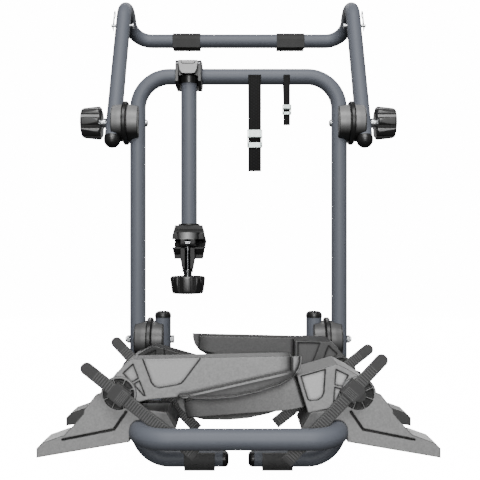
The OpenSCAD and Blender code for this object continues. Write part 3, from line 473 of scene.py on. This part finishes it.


# Painted shade on a tray: the plastic is painted darker in the trough between the crease and the
# flared lip, and round the rolled end of the channel, where shade falls. Both are found from the
# fold pin, inward and up: the crease climbs from a point just below the pin's height to one just
# short of the tray's end.
FOLD_PIN_X, FOLD_PIN_Z = 0.175, 0.1925
NEAR_REACH, FAR_REACH = 0.268, 0.2585
CREASE_START, CREASE_DROP = 0.1046, 0.0035
CREASE_STOP, CREASE_RISE = 0.0131, 0.034
TROUGH_START, TROUGH_EDGE, TROUGH_FADE = 0.100, 0.0006, 38.0
ROLL_START, ROLL_FADE, LIP_WIDTH = 0.036, 55.0, 0.0125
TROUGH_SHADE_SHARE = 0.93


def shade_tray(material, hand, dip, reach):
    """Paints shade in the trough and round the rolled end of one tray; hand is -1 left, 1 right.
    """
    tree = material.node_tree
    place_x, _, place_z = axes_of(tree, "Object")
    across = multiply_add(tree, place_x, -hand, FOLD_PIN_X)
    rise = math_node(tree, "SUBTRACT", place_z, FOLD_PIN_Z)
    sine, cosine = math.sin(math.radians(dip)), math.cos(math.radians(dip))
    inward = multiply_add(tree, rise, -sine, math_node(tree, "MULTIPLY", across, cosine))
    upward = multiply_add(tree, rise, cosine, math_node(tree, "MULTIPLY", across, sine))
    slope = CREASE_RISE / (reach - CREASE_STOP - CREASE_START)
    crease = multiply_add(tree, inward, slope, -CREASE_DROP - slope * CREASE_START)
    below = math_node(tree, "SUBTRACT", crease, upward)
    in_trough = math_node(tree, "MULTIPLY", math_node(tree, "GREATER_THAN", below, TROUGH_EDGE),
                          math_node(tree, "GREATER_THAN", inward, TROUGH_START))
    trough = math_node(tree, "MULTIPLY", in_trough,
                       multiply_add(tree, below, -TROUGH_FADE, 1.0, clamp=True))
    roll = multiply_add(tree, inward, ROLL_FADE, -ROLL_FADE * (reach - ROLL_START), clamp=True)
    before_lip = math_node(tree, "LESS_THAN", inward, reach - LIP_WIDTH)
    end = math_node(tree, "MULTIPLY", math_node(tree, "POWER", roll, 1.6), before_lip)
    # Painted shade over the trough and the rolled end.
    trough_and_end_shade = math_node(tree, "MULTIPLY", math_node(tree, "MAXIMUM", trough, end), TROUGH_SHADE_SHARE)
    tint(material, trough_and_end_shade, SHADE_BLACK)


def shade_channel(material, hand, from_pin, slope, share):
    """Dulls the channel of a tray that lies behind another one, inward of its root."""
    tree = material.node_tree
    across = multiply_add(tree, axes_of(tree, "Object")[0], -hand, FOLD_PIN_X)
    behind = multiply_add(tree, across, slope, -slope * from_pin, clamp=True)
    tint(material, math_node(tree, "MULTIPLY", behind, share), grey(0.020))


def shade_inner_end(material, from_x, to_x, share):
    """Darkens the part of a pair of feet that lies nearer the mid-plane than from_x."""
    tree = material.node_tree
    aside = math_node(tree, "ABSOLUTE", axes_of(tree, "Object")[0])
    slope = -1.0 / (from_x - to_x)
    inner = multiply_add(tree, aside, slope, -slope * from_x, clamp=True)
    tint(material, math_node(tree, "MULTIPLY", inner, share), grey(0.010))


# Each tray's own tones: what stands in front is pale, and what another tray or foot hides from
# the light is dulled, most of all on the faces that look up.
PANEL_DEPTHS, GROOVE_DEPTHS = (-0.3236, -0.1386), (-0.3282, -0.1432)
for side, hand, near_dip, panel_tone, far_dip, far_tone in (
        ("left", -1, 0, 0.35, 17, 0.010), ("right", 1, 17, 0.45, 0, 0.050)):
    near_tray = tray_material("tray_plastic_" + side, grey(0.245), grey(panel_tone), PANEL_DEPTHS)
    if near_dip:
        shade_channel(near_tray, hand, from_pin=0.105, slope=9.0, share=0.50)
    shade_tray(near_tray, hand, near_dip, NEAR_REACH)
    paint_shade_by_facing(near_tray, slope=2.0, offset=-0.5, share=0.35)
    dress(near_tray, "tray_near_" + side)
    far_tray = tray_material("shade_plastic_" + side, grey(far_tone), grey(1.2 * far_tone),
                             PANEL_DEPTHS)
    shade_tray(far_tray, hand, far_dip, FAR_REACH)
    paint_shade_by_facing(far_tray, slope=2.0, offset=-0.5, share=0.8)
    dress(far_tray, "tray_far_" + side)
# The grooves' near-black colour is painted shade.
foot_plastic = tray_material("foot_plastic", grey(0.235), grey(0.008), GROOVE_DEPTHS)
shade_inner_end(foot_plastic, from_x=0.137, to_x=0.112, share=0.65)
dress(foot_plastic, "foot_near_left", "foot_near_right")
far_foot_plastic = tray_material("far_foot_plastic", grey(0.040), grey(0.005), GROOVE_DEPTHS)
paint_shade_by_facing(far_foot_plastic, slope=2.0, offset=-0.5, share=0.8)
dress(far_foot_plastic, "foot_far_left", "foot_far_right")

# Lever on the arm's head: a pale grey moulded flap, smooth, with a dark shadow line round
# its raised thumb pad.
lever_plastic = plastic_material("lever_plastic", grey(0.27), grey(0.03), edge_share=0.7,
                                 fine=1200.0, depth=0.12, roughness=0.34, radius=0.0008)
dress(lever_plastic, "arm_head_lever")

# Ladder straps and their keepers: black thermoplastic, the straps with bars moulded across the
# face every four millimetres, scuffed grey on the bars' edges.
strap_plastic = plastic_material("strap_plastic", grey(0.034), grey(0.11), edge_share=0.9,
                                 fine=1300.0, depth=0.2, roughness=0.5, radius=0.0005)
dress(strap_plastic, *[kind + pair + side for kind in ("strap_", "keeper_")
                       for pair in ("near_", "far_") for side in ("left", "right")])


# Bolts, nuts, pins and clips: zinc plated steel, slightly clouded, with bright worn edges.
# The clamp's bolt and nut and the hinge pins are darker, and the buckles have a satin plating.
def metal_material(name, base, roughness, cloud):
    """A plated metal with cloudy roughness and bright edges."""
    material, tree, shader = new_material(name, roughness, metallic=1.0)
    film = place_group(tree, grain, Fine=600.0, Slow=160.0)
    edges = place_group(tree, soft_edges, Radius=0.0005)
    tone = blend_colour(tree, film.outputs["Tone"], scaled(base, 0.8), base)
    tree.links.new(blend_colour(tree, edges.outputs["Edge"], tone, grey(0.95)),
                   shader.inputs["Base Color"])
    vary_roughness(tree, shader, film.outputs["Tone"], roughness, cloud)
    add_bump(tree, shader, film.outputs["Height"], 0.08, 0.0002, edges.outputs["Normal"])
    return material


zinc_steel = metal_material("zinc_steel", (0.74, 0.76, 0.78), roughness=0.32, cloud=0.25)
dress(zinc_steel, "strap_pins", "strap_pin_clips", "upper_hinge_bolts", "hinge_spacers",
      "platform_bolts", "platform_nuts")
dark_steel = metal_material("dark_steel", (0.16, 0.165, 0.17), roughness=0.22, cloud=0.12)
dress(dark_steel, "tray_axles", "lever_pin", "jaw_pins", "swing_bolt", "clamp_nut")
bright_chrome = metal_material("bright_chrome", (0.36, 0.42, 0.40), roughness=0.42, cloud=0.12)
# Painted shade in the buckles' inner corners.
buckle_corner_shade = place_group(bright_chrome.node_tree, corner_shading, Reach=0.003, Gain=4.0)
tint(bright_chrome, buckle_corner_shade.outputs["Share"], (0.03, 0.035, 0.034))
dress(bright_chrome, "wide_buckle", "wide_buckle_lever", "narrow_buckle", "narrow_buckle_lever")

# Tie straps: woven black polypropylene webbing, hung over the top tube, both runs brought
# together in the buckle, with one cut tail below it. A ribbed weave with a rolled edge.
weave, weave_in, weave_out = new_group(
    "weave", {"Across": 1400.0, "Along": 1100.0}, {"Height": "Float", "Tone": "Float"})
weave_place = weave.nodes.new("ShaderNodeTexCoord")
weave_axes = weave.nodes.new("ShaderNodeSeparateXYZ")
weave.links.new(weave_place.outputs["Object"], weave_axes.inputs[0])
rib_across = math_node(weave, "MULTIPLY", weave_axes.outputs["X"], weave_in.outputs["Across"])
run_along = math_node(weave, "SUBTRACT", weave_axes.outputs["Z"], weave_axes.outputs["Y"])
rib_along = math_node(weave, "MULTIPLY", run_along, weave_in.outputs["Along"])
rib_number = math_node(weave, "FLOOR", math_node(weave, "DIVIDE", rib_across, 2 * math.pi))
shifted = multiply_add(weave, rib_number, math.pi, rib_along)
rib = math_node(weave, "ABSOLUTE",
                math_node(weave, "SINE", math_node(weave, "MULTIPLY", rib_across, 0.5)))
pick = multiply_add(weave, math_node(weave, "SINE", shifted), 0.35, 0.65)
thread = math_node(weave, "MULTIPLY", rib, pick)
weave.links.new(thread, weave_out.inputs["Height"])
weave_noise = weave.nodes.new("ShaderNodeTexNoise")
weave_noise.inputs["Scale"].default_value = 260.0
weave.links.new(weave_place.outputs["Object"], weave_noise.inputs["Vector"])
weave.links.new(math_node(weave, "MULTIPLY", thread, weave_noise.outputs["Fac"]),
                weave_out.inputs["Tone"])
webbing, tree, shader = new_material("webbing", 0.78, specular=0.22)
shader.inputs["Sheen Weight"].default_value = 0.12
shader.inputs["Sheen Roughness"].default_value = 0.4
cloth = place_group(tree, weave)
tree.links.new(blend_colour(tree, cloth.outputs["Tone"], grey(0.002), (0.012, 0.012, 0.0125)),
               shader.inputs["Base Color"])
add_bump(tree, shader, cloth.outputs["Height"], 0.8, 0.0005)

TUBE_R, TOP_TUBE_Z = 0.015, 0.729
WEB_GAP, WEB_T = 0.00035, 0.0014
WEB_R = TUBE_R + WEB_GAP + WEB_T / 2
EDGE_ROOM = 0.0006
RUN_GAP = 0.0002
TURN_STEPS = 20


def hang_webbing(name, node, body, loop):
    """One strap: tail and front run, a half turn round the tube, and the slanted rear run."""
    low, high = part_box(node)
    width, middle = high.x - low.x, (high.x + low.x) / 2
    tail = TOP_TUBE_Z - low.z
    bpy.ops.object.select_all(action="DESELECT")
    bpy.ops.mesh.primitive_plane_add(size=1, location=(middle, -WEB_R, TOP_TUBE_Z - tail / 2),
                                     rotation=(math.radians(90), 0, 0))
    strap = bpy.context.object
    strap.name = name
    strap.scale = (width - EDGE_ROOM, tail, 1)
    bpy.ops.object.transform_apply(location=True, rotation=True, scale=True)
    select_edges(strap, lambda point: point.z > TOP_TUBE_Z - tail / 2)
    # Open fault: this turn runs under the tube. The real band's turn lies over it.
    bpy.ops.mesh.spin(steps=TURN_STEPS, angle=-math.pi, dupli=False,
                      center=(middle, 0, TOP_TUBE_Z), axis=(1, 0, 0))
    bpy.ops.mesh.extrude_region_move(TRANSFORM_OT_translate={
        "value": (0, -2 * WEB_R + WEB_T + RUN_GAP, -loop)})
    bpy.ops.mesh.select_all(action="SELECT")
    bpy.ops.mesh.remove_doubles(threshold=0.00001)
    bpy.ops.mesh.normals_make_consistent(inside=False)
    bpy.ops.object.mode_set(mode="OBJECT")
    thick = strap.modifiers.new("thickness", "SOLIDIFY")
    thick.thickness, thick.offset = WEB_T, 0.0
    rolled = strap.modifiers.new("rolled_edge", "BEVEL")
    rolled.width, rolled.segments = 0.0005, 2
    rolled.limit_method = "ANGLE"
    bpy.ops.object.modifier_apply(modifier="thickness")
    bpy.ops.object.modifier_apply(modifier="rolled_edge")
    bpy.ops.object.shade_smooth_by_angle(angle=math.radians(30))
    strap.data.materials.clear()
    strap.data.materials.append(webbing)
    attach(strap, body)
    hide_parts(node)


hang_webbing("wide_webbing", "wide_strap", "wide_strap", loop=0.094)
hang_webbing("narrow_webbing", "narrow_strap", "narrow_strap", loop=0.050)
